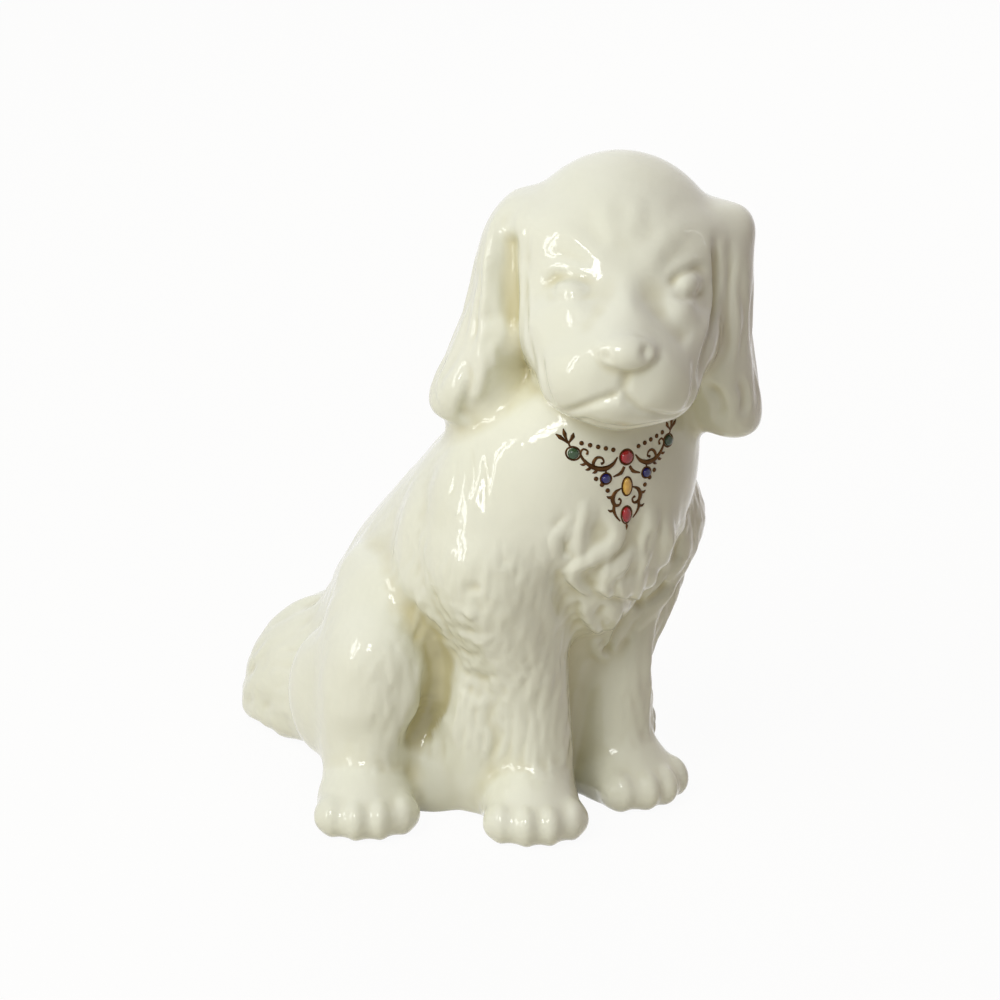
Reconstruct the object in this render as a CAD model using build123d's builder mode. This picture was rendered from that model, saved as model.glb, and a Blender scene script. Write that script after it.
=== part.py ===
"""Seated spaniel puppy, a hollow slip-cast china figure with a gilt and jewelled necklace.

The dog faces -Y, its right side is -X and the table is the plane Z = 0. Sizes are in millimetres
and degrees. The castings are cut to each other's faces, as they are before they are stuck together
with slip and fired.
"""

import os
from collections import namedtuple

from build123d import *

os.makedirs("parts", exist_ok=True)

# A ring is one oval of a lofted form: where its plane stands, where its middle lies in that plane,
# and its half sizes
Ring = namedtuple("Ring", "station across along half_across half_along")

# An egg is one round mass that is set on a form: how far to the side, forward and up its middle lies,
# its half length and its radius
Egg = namedtuple("Egg", "out forward up half_length radius")

# Body casting: level rings from the foot to the top of the neck, one wall all round, and a vent that
# lets the air out in the kiln
wall = 3.2
vent_diameter, vent_y = 3.5, 20.0
body_rings = [
    Ring(station=0, across=0, along=15, half_across=19, half_along=28.5),
    Ring(station=8, across=0, along=15, half_across=21, half_along=30),
    Ring(station=24, across=0, along=14, half_across=22.5, half_along=30.5),
    Ring(station=40, across=0, along=5, half_across=24, half_along=30.5),
    Ring(station=55, across=0, along=-7, half_across=24.5, half_along=28),
    Ring(station=68, across=0, along=-14.5, half_across=23.5, half_along=22),
    Ring(station=79, across=1, along=-19, half_across=17, half_along=16.5),
    Ring(station=88, across=2, along=-21, half_across=12.5, half_along=12.5),
]

# Upright masses that fill the body out to the legs on each side
shoulder = Egg(out=15.5, forward=12.5, up=58, half_length=15, radius=12)
flank = Egg(out=16.5, forward=3, up=46, half_length=20, radius=11)
belly = Egg(out=13, forward=6.5, up=22, half_length=26, radius=9.5)
seat_mass = Egg(out=11.5, forward=-4, up=3, half_length=26, radius=9)

# Head casting: upright rings in the head's own frame, the skull from back to front and the muzzle
# from the cheeks to the lips, with the nose, the full upper lips and the other
# masses of the face set on it
head_x, head_y, head_z = 2.0, -24.0, 99.7
head_turn, head_roll = -41.5, 4.0
skull_rings = [
    Ring(station=-20, across=0, along=1, half_across=6, half_along=7),
    Ring(station=-15, across=0, along=1, half_across=12.5, half_along=13.5),
    Ring(station=-6, across=0, along=0.5, half_across=17.5, half_along=19),
    Ring(station=3, across=0, along=0, half_across=18.5, half_along=20.3),
    Ring(station=10, across=0, along=-1, half_across=17, half_along=18.5),
    Ring(station=15, across=0, along=-2, half_across=14, half_along=15.5),
    Ring(station=19, across=0, along=-3.5, half_across=9, half_along=11),
    Ring(station=21, across=0, along=-4.5, half_across=4.5, half_along=6),
]
muzzle_rings = [
    Ring(station=8, across=0, along=-11, half_across=13.5, half_along=11.5),
    Ring(station=17, across=0, along=-11.7, half_across=14, half_along=10.5),
    Ring(station=24.5, across=0, along=-11.7, half_across=13, half_along=9.3),
    Ring(station=29, across=0, along=-11.3, half_across=10, half_along=7.6),
    Ring(station=31.5, across=0, along=-11, half_across=5.5, half_along=4.5),
]
nose_forward, nose_drop = 28.8, 6.2
nose_half_width, nose_radius = 6.0, 3.9
flew = Egg(out=6.2, forward=20, up=-12.8, half_length=10, radius=7.6)
cheek = Egg(out=7.5, forward=9, up=-8, half_length=15, radius=10)
bridge = Egg(out=0, forward=17.5, up=-3.4, half_length=14, radius=8.2)
bridge_slope = 28.0
brow = Egg(out=8, forward=8.6, up=7, half_length=9, radius=7)
chin = Egg(out=0, forward=22, up=-17.8, half_length=7, radius=4.2)
nape = Egg(out=0, forward=-7, up=-13, half_length=15, radius=12.5)

# Ears: level rings in the head's frame, from the root down to the tip
ear_rings = [
    Ring(station=13, across=13.5, along=0, half_across=3.5, half_along=6),
    Ring(station=5, across=18.2, along=0, half_across=4.5, half_along=9),
    Ring(station=-7, across=17.8, along=1, half_across=6, half_along=10.5),
    Ring(station=-17, across=18.6, along=2, half_across=7.2, half_along=11),
    Ring(station=-24, across=20.5, along=2, half_across=6.8, half_along=9.5),
    Ring(station=-28, across=22, along=2, half_across=3, half_along=5),
]
ear_flare = {"right": 4.0, "left": 0.0}

# Legs: level rings from the table up, given for the left side, and the paws that they stand on.
# The right paws turn out further, and the left hind leg is tucked closer to the body
foreleg_rings = [
    Ring(station=0, across=11.5, along=-16, half_across=7.5, half_along=8.5),
    Ring(station=14, across=10, along=-14.5, half_across=7.5, half_along=9),
    Ring(station=34, across=13.5, along=-13.5, half_across=9.5, half_along=11),
    Ring(station=50, across=16.5, along=-12.5, half_across=12, half_along=13.5),
    Ring(station=63, across=13.5, along=-12.5, half_across=9, half_along=10),
]
hind_leg_rings = [
    Ring(station=0, across=30, along=7, half_across=7.5, half_along=8),
    Ring(station=10, across=29.5, along=7, half_across=7, half_along=8.3),
    Ring(station=18, across=28.3, along=6.5, half_across=9.2, half_along=10.5),
    Ring(station=28, across=26.3, along=6, half_across=10.8, half_along=11.8),
    Ring(station=37, across=23.5, along=8, half_across=10, half_along=12),
    Ring(station=46, across=19, along=9, half_across=7, half_along=9),
]
hind_tuck = {"right": 0.0, "left": 9.0}
forepaw_x = {"right": 12.8, "left": 9.8}
forepaw_y = -18.5
forepaw_splay = {"right": 36.0, "left": -6.0}
hind_paw_x, hind_paw_y = 32.5, 3.5
hind_paw_splay = {"right": 38.0, "left": 18.0}
paw_half_length, paw_half_width, paw_middle = 10.5, 8.8, 3.6
toe_radius, toe_pitch, toe_reach, toe_set_back = 3.8, 4.1, 8.6, 2.0
toes = 4

# Tail: upright rings from the rump to the tip, lying on the table and curving to the dog's right
tail_rings = [
    Ring(station=23, across=-4, along=7.5, half_across=22, half_along=17),
    Ring(station=34, across=-3.5, along=9, half_across=19.5, half_along=21.5),
    Ring(station=44, across=-5.5, along=8, half_across=16, half_along=19),
    Ring(station=51, across=-8, along=6.5, half_across=12.5, half_along=16.5),
    Ring(station=56, across=-10, along=4.5, half_across=8.5, half_along=12),
    Ring(station=59, across=-11, along=3, half_across=4, half_along=6),
]

# Necklace: a festoon across the chest, facing a little to the dog's right, that hangs clear below the
# chin. Places on it are measured from its centre stone, towards the dog's left and up
necklace_turn, necklace_clearance = -18.0, 1.0
necklace_reach = 12.0
Jewel = namedtuple("Jewel", "across up half_width half_height")
centre_jewel = Jewel(across=0, up=0, half_width=1.25, half_height=1.25)
yellow_jewel = Jewel(across=0, up=-5.1, half_width=0.85, half_height=1.6)
drop_jewel = Jewel(across=0, up=-10.2, half_width=1.0, half_height=1.4)
blue_jewel = Jewel(across=3.9, up=-3.3, half_width=0.85, half_height=0.85)
green_jewel = Jewel(across=9.0, up=1.2, half_width=1.0, half_height=1.0)
jewel_height, jewel_girdle, jewel_sink, jewel_table = 0.7, 0.25, 1.0, 0.6

# Chest ruff: two tiers of locks below the necklace, each an egg laid along the hair, measured as the
# necklace is and leaning by an angle
Lock = namedtuple("Lock", "across up half_length radius lean")
ruff_locks = [
    Lock(across=-11.3, up=-19.0, half_length=7, radius=3.2, lean=22),
    Lock(across=-9.0, up=-18.5, half_length=8, radius=3.3, lean=7),
    Lock(across=-5.5, up=-19.5, half_length=8, radius=3.3, lean=0),
    Lock(across=-1.9, up=-20.3, half_length=8, radius=3.3, lean=-8),
    Lock(across=2.3, up=-20.3, half_length=8, radius=3.3, lean=-9),
    Lock(across=5.8, up=-19.0, half_length=8, radius=3.3, lean=-11),
    Lock(across=9.3, up=-18.8, half_length=8, radius=3.3, lean=-15),
    Lock(across=-4.2, up=-31.5, half_length=6, radius=2.8, lean=18),
    Lock(across=0.0, up=-31.0, half_length=6, radius=2.8, lean=-10),
    Lock(across=3.6, up=-30.2, half_length=6, radius=2.8, lean=-32),
]
ruff_sink = 1.3

# Gilding: raised lines of one width and thickness, and rows of round beads
gilt_width, gilt_thickness = 0.55, 0.25
bead_radius = 0.32
BeadRow = namedtuple("BeadRow", "count across up step_across step_up")
festoon_beads = BeadRow(count=5, across=2.4, up=1.5, step_across=1.3, step_up=0.35)
pendant_beads = BeadRow(count=3, across=5.6, up=-3.2, step_across=-1.0, step_up=-1.1)
festoon_line = [(1.6, 0.1), (3.6, -1.4), (6.0, -1.2), (7.7, 0.5)]
festoon_curl = [(6.0, -1.2), (5.4, 0.4), (4.4, -0.3)]
pendant_line = [(1.3, -5.6), (2.6, -6.6), (2.3, -8.2), (1.2, -8.0)]
pendant_curl = [(2.3, -8.2), (2.2, -9.6), (1.6, -10.6)]
sprig_foot = (9.6, 2.9)
sprig_tips = [(8.6, 4.6), (10.0, 5.3), (11.2, 4.4)]


def lofted(planes, rings):
    """One smooth form through ovals, each on its own plane."""
    with BuildPart() as form:
        for plane, ring in zip(planes, rings):
            with BuildSketch(plane):
                with Locations((ring.across, ring.along)):
                    Ellipse(ring.half_across, ring.half_along)
        loft()
    return form.part


def level_form(rings):
    return lofted([Plane.XY.offset(r.station) for r in rings], rings)


def grown(rings, by):
    return [r._replace(half_across=r.half_across + by, half_along=r.half_along + by) for r in rings]


head_place = Pos(head_x, head_y, head_z) * Rot(0, 0, head_turn) * Rot(0, head_roll, 0)


def head_loft(rings):
    """A form through upright rings that stand square to the way the head looks."""
    return lofted([Plane(head_place * Plane.XZ.offset(r.station).location) for r in rings], rings)


def spheroid(half_length, radius):
    """An egg shape about the X axis."""
    with BuildPart() as egg:
        with BuildSketch(Plane.XY):
            Ellipse(half_length, radius)
            split(bisect_by=Plane.XZ)
        revolve(axis=Axis.X)
    return egg.part


def paw_form():
    """A paw that points along -Y, its toes set round the front."""
    pad = Rot(0, 0, 90) * spheroid(paw_half_length, paw_half_width)
    middle = (toes - 1) / 2
    with BuildPart() as paw:
        add(pad)
        for toe in range(toes):
            step = toe - middle
            with Locations((step * toe_pitch, toe_set_back * (abs(step) - 0.5) - toe_reach)):
                Sphere(toe_radius)
    return paw.part


def write(part, name):
    part.label = name
    export_step(part, f"parts/{name}.step")
    print(name, round(part.volume), len(part.solids()))


# Trunk, with the masses that meet the legs
trunk_loft = level_form(body_rings)
trunk_masses = []
for side in (-1, 1):
    for mass in (shoulder, flank, belly, seat_mass):
        upright = Rot(0, 90, 0) * spheroid(mass.half_length, mass.radius)
        trunk_masses.append(Pos(side * mass.out, -mass.forward, mass.up) * upright)
with BuildPart() as trunk:
    add(trunk_loft)
    add(trunk_masses)
    split(bisect_by=Plane.XY)
chest_form = trunk.part

# Head casting
skull = head_loft(skull_rings)
skull_hollow = head_loft(grown(skull_rings[1:-1], -wall))
muzzle = head_loft(muzzle_rings)
nose = head_place * Pos(0, -nose_forward, -nose_drop) * spheroid(nose_half_width, nose_radius)


def on_head(egg, side, turn):
    """A mass of the face on one side of it, its length turned from the line across the head."""
    form = turn * spheroid(egg.half_length, egg.radius)
    return head_place * Pos(side * egg.out, -egg.forward, egg.up) * form


forward = Rot(0, 0, 90)
face = [on_head(bridge, 0, Rot(bridge_slope, 0, 0) * forward)]
face += [on_head(mass, 0, Rot()) for mass in (chin, nape)]
for side in (-1, 1):
    face += [on_head(mass, side, forward) for mass in (flew, cheek)]
    face.append(on_head(brow, side, Rot()))
with BuildPart() as head:
    add(skull)
    add(muzzle)
    add(nose)
    add(face)
    add(skull_hollow, mode=Mode.SUBTRACT)
    add(chest_form, mode=Mode.SUBTRACT)
write(head.part, "head")

# The necklace's place on the chest, and the seats of what lies there
facing = Vector(0, -1, 0).rotate(Axis.Z, necklace_turn)
to_left = Vector(1, 0, 0).rotate(Axis.Z, necklace_turn)


def chest_hit(start, direction):
    """The first point of the chest along a line, and the way the surface faces there."""
    hits = chest_form.find_intersection_points(Axis(start, direction))
    point, normal = min(hits, key=lambda hit: (hit[0] - start).length)
    return point, normal if normal.dot(direction) < 0 else -normal


sprig_top = max(up for _, up in sprig_tips) + gilt_width / 2
necklace_height = head.part.bounding_box().min.Z - necklace_clearance - sprig_top
chest = min(body_rings, key=lambda ring: abs(ring.station - necklace_height))
outside = chest.half_across + chest.half_along
centre, _ = chest_hit(Vector(chest.across, chest.along, necklace_height) + facing * outside, -facing)
necklace = Plane(centre, x_dir=to_left, z_dir=facing)


def seat(across, up):
    """The plane that touches the chest at a place on the necklace."""
    point, normal = chest_hit(necklace.from_local_coords(Vector(across, up, necklace_reach)), -facing)
    return Plane(point, x_dir=to_left, z_dir=normal)


# Body casting, hollow, with the ruff laid on the chest
inner_form = level_form(grown(body_rings, -wall))
with BuildPart() as hollow:
    add(inner_form)
    split(bisect_by=Plane.XY.offset(wall))
ruff = []
for tuft in ruff_locks:
    laid = seat(tuft.across, tuft.up).location * Pos(0, 0, -ruff_sink) * Rot(0, 0, 90 + tuft.lean)
    ruff.append(laid * spheroid(tuft.half_length, tuft.radius))
with BuildPart() as coat:
    add(chest_form)
    add(ruff)
body_solid = coat.part
with BuildPart() as body:
    add(body_solid)
    add(hollow.part, mode=Mode.SUBTRACT)
    with BuildSketch():
        with Locations((0, vent_y)):
            Circle(vent_diameter / 2)
    extrude(amount=wall + vent_diameter, mode=Mode.SUBTRACT)
write(body.part, "body")

# Ears, forelegs and hind legs
for side, name in ((-1, "right"), (1, "left")):
    root, tip = ear_rings[0].station, ear_rings[-1].station
    flare = [ear_flare[name] * (root - r.station) / (root - tip) for r in ear_rings]
    rings = [r._replace(across=side * (r.across + out)) for r, out in zip(ear_rings, flare)]
    planes = [Plane(head_place * Plane.XY.offset(r.station).location) for r in rings]
    flap = lofted(planes, rings)
    with BuildPart() as ear:
        add(flap)
        add(skull, mode=Mode.SUBTRACT)
        add(face, mode=Mode.SUBTRACT)
        add(body_solid, mode=Mode.SUBTRACT)
    write(ear.part, f"{name}_ear")

    leg = level_form([r._replace(across=side * r.across) for r in foreleg_rings])
    paw_place = Pos(side * forepaw_x[name], forepaw_y, paw_middle)
    paw = paw_place * Rot(0, 0, side * forepaw_splay[name]) * paw_form()
    with BuildPart() as foreleg:
        add(paw)
        split(bisect_by=Plane.XY)
        add(leg)
        add(body_solid, mode=Mode.SUBTRACT)
    write(foreleg.part, f"{name}_foreleg")

    reach = -hind_tuck[name]
    thigh = level_form([r._replace(across=side * (r.across + reach)) for r in hind_leg_rings])
    paw_place = Pos(side * (hind_paw_x + reach), hind_paw_y, paw_middle)
    paw = paw_place * Rot(0, 0, side * hind_paw_splay[name]) * paw_form()
    with BuildPart() as hind:
        add(paw)
        split(bisect_by=Plane.XY)
        add(thigh)
        add(body_solid, mode=Mode.SUBTRACT)
        add(leg, mode=Mode.SUBTRACT)
    write(hind.part, f"{name}_hind_leg")

# Tail
brush = lofted([Plane.XZ.offset(-r.station) for r in tail_rings], tail_rings)
with BuildPart() as tail:
    add(brush)
    split(bisect_by=Plane.XY)
    add(body_solid, mode=Mode.SUBTRACT)
write(tail.part, "tail")

# Necklace stones, each seated on the chest and cut to its curve
def jewel(stone, side=1):
    place = seat(side * stone.across, stone.up)
    with BuildPart() as gem:
        for height, share in ((-jewel_sink, 1), (jewel_girdle, 1), (jewel_height, jewel_table)):
            with BuildSketch(place.offset(height)):
                Ellipse(stone.half_width * share, stone.half_height * share)
        loft(ruled=True)
        add(body_solid, mode=Mode.SUBTRACT)
    return gem.part


write(jewel(centre_jewel), "red_centre_jewel")
write(jewel(yellow_jewel), "yellow_jewel")
write(jewel(drop_jewel), "red_drop_jewel")

# Gilding, one pen width of raised gold that follows the chest
gilt_skin = level_form(grown(body_rings, gilt_thickness))


def gilt(lines, side):
    """Raised gold along curves drawn on the necklace, for one side of it."""
    with BuildPart() as ribbon:
        with BuildSketch(necklace):
            with BuildLine():
                for line in lines:
                    Spline(*[(side * across, up) for across, up in line])
            trace(line_width=gilt_width)
        extrude(amount=necklace_reach, both=True)
        add(gilt_skin, mode=Mode.INTERSECT)
        add(body_solid, mode=Mode.SUBTRACT)
    return ribbon.part


with BuildPart() as beads:
    for side in (-1, 1):
        for row in (festoon_beads, pendant_beads):
            for k in range(row.count):
                with Locations(seat(side * (row.across + k * row.step_across), row.up + k * row.step_up)):
                    Sphere(bead_radius)
    add(body_solid, mode=Mode.SUBTRACT)
write(beads.part, "gilt_beads")

for side, name in ((-1, "right"), (1, "left")):
    write(jewel(blue_jewel, side), f"{name}_blue_jewel")
    write(jewel(green_jewel, side), f"{name}_green_jewel")
    write(gilt([festoon_line, festoon_curl], side), f"{name}_festoon_scroll")
    write(gilt([pendant_line, pendant_curl], side), f"{name}_pendant_scroll")
    write(gilt([[sprig_foot, tip] for tip in sprig_tips], side), f"{name}_sprig")
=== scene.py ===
import math

import bmesh
import bpy
import numpy as np
from mathutils import Matrix, Vector, noise
from mathutils.bvhtree import BVHTree


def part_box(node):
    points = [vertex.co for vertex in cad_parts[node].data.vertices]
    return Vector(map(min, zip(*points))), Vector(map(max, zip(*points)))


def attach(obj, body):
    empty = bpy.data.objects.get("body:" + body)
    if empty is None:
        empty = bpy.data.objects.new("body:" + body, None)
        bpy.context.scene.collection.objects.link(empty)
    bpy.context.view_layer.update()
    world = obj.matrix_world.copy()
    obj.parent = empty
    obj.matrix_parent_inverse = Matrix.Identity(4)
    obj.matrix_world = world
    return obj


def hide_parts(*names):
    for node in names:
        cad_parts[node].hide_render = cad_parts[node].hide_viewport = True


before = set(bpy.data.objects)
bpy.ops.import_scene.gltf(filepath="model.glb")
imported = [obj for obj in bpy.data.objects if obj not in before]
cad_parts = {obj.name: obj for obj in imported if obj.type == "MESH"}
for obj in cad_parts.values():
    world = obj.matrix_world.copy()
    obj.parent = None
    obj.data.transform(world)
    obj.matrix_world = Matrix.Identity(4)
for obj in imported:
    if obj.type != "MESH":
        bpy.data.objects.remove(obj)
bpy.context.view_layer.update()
MM = 0.001

# Camera
# The photograph looks from in front and from the dog's right, a little down on it, with a long lens.
# It is set up first, because the strokes that the photograph shows are laid on the clay from it.


def way_to(turn, rise):
    """The way to a camera or a lamp, turned from the dog's front and raised, in degrees."""
    turn, rise = math.radians(turn), math.radians(rise)
    return Vector((math.sin(turn) * math.cos(rise), -math.cos(turn) * math.cos(rise), math.sin(rise)))


camera_back, camera_distance = way_to(-43, 18), 600 * MM
camera_target = Vector((-3, 0, 54)) * MM
view_width = 178 * MM
camera = bpy.data.objects.new("camera", bpy.data.cameras.new("camera"))
bpy.context.scene.collection.objects.link(camera)
camera.location = camera_target + camera_back * camera_distance
camera.rotation_euler = camera_back.to_track_quat("Z", "Y").to_euler()
camera.data.lens = camera.data.sensor_width * camera_distance / view_width
bpy.context.scene.camera = camera

# China castings
# The figure is slip-cast in parts, which are stuck together with slip and sponged smooth, so that
# after glazing the joints can't be seen. Here the castings are pressed into one skin whose joints
# are rounded over, and the small round forms that this softens are set on again.
castings = [
    "body", "head", "right_ear", "left_ear", "right_foreleg", "left_foreleg",
    "right_hind_leg", "left_hind_leg", "tail",
]
same_corner = 0.001 * MM


def copied(name):
    """A loose copy of a casting's mesh, its doubled corners merged."""
    copy = bpy.data.objects.new(name + ".clay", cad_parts[name].data.copy())
    bpy.context.scene.collection.objects.link(copy)
    edit = bmesh.new()
    edit.from_mesh(copy.data)
    bmesh.ops.remove_doubles(edit, verts=edit.verts, dist=same_corner)
    edit.to_mesh(copy.data)
    edit.free()
    return copy


def ball(place, at, radii):
    """A ball of clay, squeezed to its radii in mm and set in a frame of the figure."""
    bpy.ops.mesh.primitive_ico_sphere_add(subdivisions=4, radius=1.0)
    clay = bpy.context.object
    squeeze = Matrix.Diagonal((*[r * MM for r in radii], 1.0))
    clay.data.transform(place @ Matrix.Translation(Vector(at) * MM) @ squeeze)
    return clay


def pressed_together(pieces, grain_size, passes):
    """The pieces as one skin of even grain, with no inner walls and with its joints softened."""
    bpy.ops.object.select_all(action="DESELECT")
    for piece in pieces:
        piece.select_set(True)
    bpy.context.view_layer.objects.active = pieces[0]
    bpy.ops.object.join()
    grain = bpy.context.object.modifiers.new("grain", "REMESH")
    grain.mode, grain.voxel_size = "VOXEL", grain_size * MM
    bpy.ops.object.modifier_apply(modifier="grain")
    bpy.ops.object.mode_set(mode="EDIT")
    bpy.ops.mesh.separate(type="LOOSE")
    bpy.ops.object.mode_set(mode="OBJECT")
    outer, *inner_walls = sorted(bpy.context.selected_objects, key=lambda o: -max(o.dimensions))
    for wall in inner_walls:
        bpy.data.objects.remove(wall)
    bpy.context.view_layer.objects.active = outer
    soft = outer.modifiers.new("soft", "SMOOTH")
    soft.factor, soft.iterations = 0.5, passes
    bpy.ops.object.modifier_apply(modifier="soft")
    return outer


def placed(x, y, z, turn, roll=0.0):
    """A frame of the figure, from its place in mm and its turns in degrees."""
    turned = Matrix.Rotation(math.radians(turn), 4, "Z") @ Matrix.Rotation(math.radians(roll), 4, "Y")
    return Matrix.Translation(Vector((x, y, z)) * MM) @ turned


# The frames of the whole figure, of its head and chest, and of its paws
here = Matrix.Identity(4)
head = placed(2, -24, 99.7, -41.5, 4)
chest = placed(-6.8, -35.6, 70.8, -18)
paws = [
    placed(-12.8, -18.5, 3.6, -36), placed(9.8, -18.5, 3.6, -6),
    placed(-32.5, 3.5, 3.6, -38), placed(23.5, 3.5, 3.6, 18),
]
clay = [copied(name) for name in castings]
clay += [
    ball(here, (0, 20, 2), (4, 4, 3)),  # stops the vent, which is pierced again before glazing
    ball(head, (19, 0, 8), (4, 6.5, 5)),  # the root of the left ear
    ball(chest, (1, 9, -19), (11, 7.5, 11)),  # under the ruff's upper locks
    ball(chest, (0, 13, -27), (9, 7, 9)),  # under its lower locks
    ball(here, (-28, 20, 18), (7, 9, 14)),  # between the right haunch and the tail
]
for side in (-1, 1):
    clay += [
        ball(head, (side * 11, -15, -7), (5, 8, 6.5)),  # cheek
        ball(head, (side * 7.5, -17, -3), (4.5, 8, 6)),  # side of the muzzle
        ball(head, (side * 17.5, 2.5, -2), (4.5, 7, 15)),  # between skull and ear
        ball(here, (side * 19, 1, 8), (6.5, 7.5, 11)),  # between haunch and belly
    ]
soft_grain, soft_passes, fine_grain, fine_passes = 1.0, 20, 0.45, 4
soft_figure = pressed_together(clay, soft_grain, soft_passes)

nose = ball(head, (0, -29.8, -6.4), (5.4, 3.6, 3.5))
clay = [soft_figure, nose]
toe_pitch, toe_reach, toe_set_back, toe_height, toe_radii = 4.1, 8.7, 2.0, 0.2, (2.5, 4.0, 3.9)
for paw in paws:
    for toe in (-1.5, -0.5, 0.5, 1.5):
        forward = toe_set_back * (abs(toe) - 0.5) - toe_reach
        clay.append(ball(paw, (toe * toe_pitch, forward, toe_height), toe_radii))
figure = pressed_together(clay, fine_grain, fine_passes)

# Face
# The sculptor worked the clay with a rounded tool: the lids, brows, lips and furrows are shallow
# strokes in it. A stroke seen in the photograph is laid on the skin from the camera, in its pixels.
pixel, photo_middle = 0.178 * MM, 500
photo_right = Vector((0, 0, 1)).cross(camera_back).normalized()
photo_up = camera_back.cross(photo_right)


class Skin:
    """The figure's surface in mm, which the tools push in and out along its normals."""

    def __init__(self, clay):
        self.clay = clay
        self.points = self.read("co") / MM
        self.lift = np.zeros(len(self.points))
        self.coat = np.zeros(len(self.points))
        edges = np.empty(len(clay.data.edges) * 2, int)
        clay.data.edges.foreach_get("vertices", edges)
        self.ends = np.concatenate([edges[0::2], edges[1::2]])
        self.others = np.concatenate([edges[1::2], edges[0::2]])
        self.neighbours = np.bincount(self.ends, minlength=len(self.points))[:, None]
        self.settle()

    def read(self, name):
        """The places or the normals of the mesh's points."""
        flat = np.empty(len(self.clay.data.vertices) * 3)
        self.clay.data.vertices.foreach_get(name, flat)
        return flat.reshape(-1, 3)

    def settle(self):
        """Moves the surface by the strokes so far, and finds its new normals."""
        if self.lift.any() or self.coat.any():
            self.points += self.normals * (self.lift + self.coat)[:, None]
            self.points[:, 2] = np.maximum(self.points[:, 2], 0)
            self.lift[:] = 0
            self.coat[:] = 0
        self.clay.data.vertices.foreach_set("co", (self.points * MM).ravel())
        self.clay.data.update()
        self.normals = self.read("normal")
        self.tree = BVHTree.FromObject(self.clay, bpy.context.evaluated_depsgraph_get())
        self.by_height = np.argsort(self.points[:, 2])
        self.heights = self.points[self.by_height, 2]

    def evened(self, values, passes):
        """Values at the skin's points, each time the mean of their neighbours'."""
        count, columns = values.shape
        for _ in range(passes):
            sums = [np.bincount(self.ends, values[self.others, k], count) for k in range(columns)]
            values = np.stack(sums, axis=1) / self.neighbours
        return values

    def sponged(self, share, passes):
        """Wipes the surface smooth, all the way where the share is 1."""
        moved = np.flatnonzero(share > 0)
        place = np.full(len(self.points), -1)
        place[moved] = np.arange(len(moved))
        local = place[self.ends]
        local, others = local[local >= 0], self.others[local >= 0]
        much = share[moved][:, None]
        for _ in range(passes):
            sums = [np.bincount(local, self.points[others, k], len(moved)) for k in range(3)]
            mean = np.stack(sums, axis=1) / self.neighbours[moved]
            self.points[moved] += much * (mean - self.points[moved])
        self.settle()

    def near(self, path, reach, same_side=0.2):
        """The points within reach of a path, how far along it each lies, and how far from it."""
        spots, facing = path
        low, high = spots.min(axis=0) - reach, spots.max(axis=0) + reach
        first, last = np.searchsorted(self.heights, (low[2], high[2]))
        found = self.by_height[first:last]
        inside = np.all((self.points[found] > low) & (self.points[found] < high), axis=1)
        found = found[inside]
        away = np.linalg.norm(self.points[found, None] - spots[None], axis=2)
        nearest = away.argmin(axis=1)
        away = away[np.arange(len(found)), nearest]
        turned = np.einsum("ij,ij->i", self.normals[found], facing[nearest])
        keep = (away < reach) & (turned > same_side)
        return found[keep], nearest[keep] / max(len(spots) - 1, 1), away[keep]


skin = Skin(figure)


def through(line, step):
    """Points about a step apart on a smooth curve through the given ones."""
    line = np.array(line, float)
    count = int(np.linalg.norm(np.diff(line, axis=0), axis=1).sum() / step) + 2
    ends = np.vstack([2 * line[0] - line[1], line, 2 * line[-1] - line[-2]])
    along = np.linspace(0, len(line) - 1, count)
    k = np.minimum(along.astype(int), len(line) - 2)
    t = (along - k)[:, None]
    a, b, c, d = ends[k], ends[k + 1], ends[k + 2], ends[k + 3]
    return 0.5 * (2 * b + (c - a) * t + (2 * a - 5 * b + 4 * c - d) * t**2 + (3 * b - a - 3 * c + d) * t**3)


def laid(rays):
    """The places where rays first meet the skin, and the way it faces there."""
    hits = [skin.tree.ray_cast(start, way)[:2] for start, way in rays]
    hits = [(spot, normal) for spot, normal in hits if spot is not None]
    spots = np.array([spot for spot, _ in hits]).reshape(-1, 3) / MM
    return spots, np.array([normal for _, normal in hits]).reshape(-1, 3)


def traced(*line):
    """A line seen in the photograph, in its pixels, laid on the skin."""
    rays = []
    for across, down in through(line, 1.0):
        aim = camera_target + photo_right * (across - photo_middle) * pixel
        aim += photo_up * (photo_middle - down) * pixel
        rays.append((camera.location, (aim - camera.location).normalized()))
    return laid(rays)


def eased(t):
    """From 0 to 1 with soft ends, as t does."""
    t = np.clip(t, 0, 1)
    return t * t * (3 - 2 * t)


def rounded(away, width):
    """The tool's round section: 1 in the middle of a stroke and 0 at its sides."""
    return 0.5 * (1 + np.cos(np.pi * away / width))


def cut(path, width, depth, lead=0.3, trail=0.3):
    """A rounded stroke, a ridge where its depth is positive, that fades at both ends."""
    if len(path[0]) < 2:
        return
    found, along, away = skin.near(path, width)
    fade = eased(along / lead) * eased((1 - along) / trail)
    skin.lift[found] += depth * fade * rounded(away, width)


def dab(path, width, height):
    """A soft swelling, or a dent where its height is negative, about one spot."""
    spots, facing = path
    middle = len(spots) // 2
    found, _, away = skin.near((spots[middle:middle + 1], facing[middle:middle + 1]), width)
    skin.lift[found] += height * rounded(away, width)


def spot(across, down):
    """One spot seen in the photograph, in its pixels."""
    return traced((across - 1, down), (across + 1, down))


def wiped(path, width, passes):
    """Sponges the clay along a path, until the marks under it are soft."""
    found, _, away = skin.near(path, width)
    share = np.zeros(len(skin.points))
    share[found] = eased(1.6 * (1 - away / width))
    skin.sponged(share, passes)


def between(p, low, high, fade):
    """How far inside a box the skin's points lie, from 0 at its sides to 1 a fade's length in."""
    return eased(np.minimum(p - low, high - p).min(axis=1) / fade)


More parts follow.
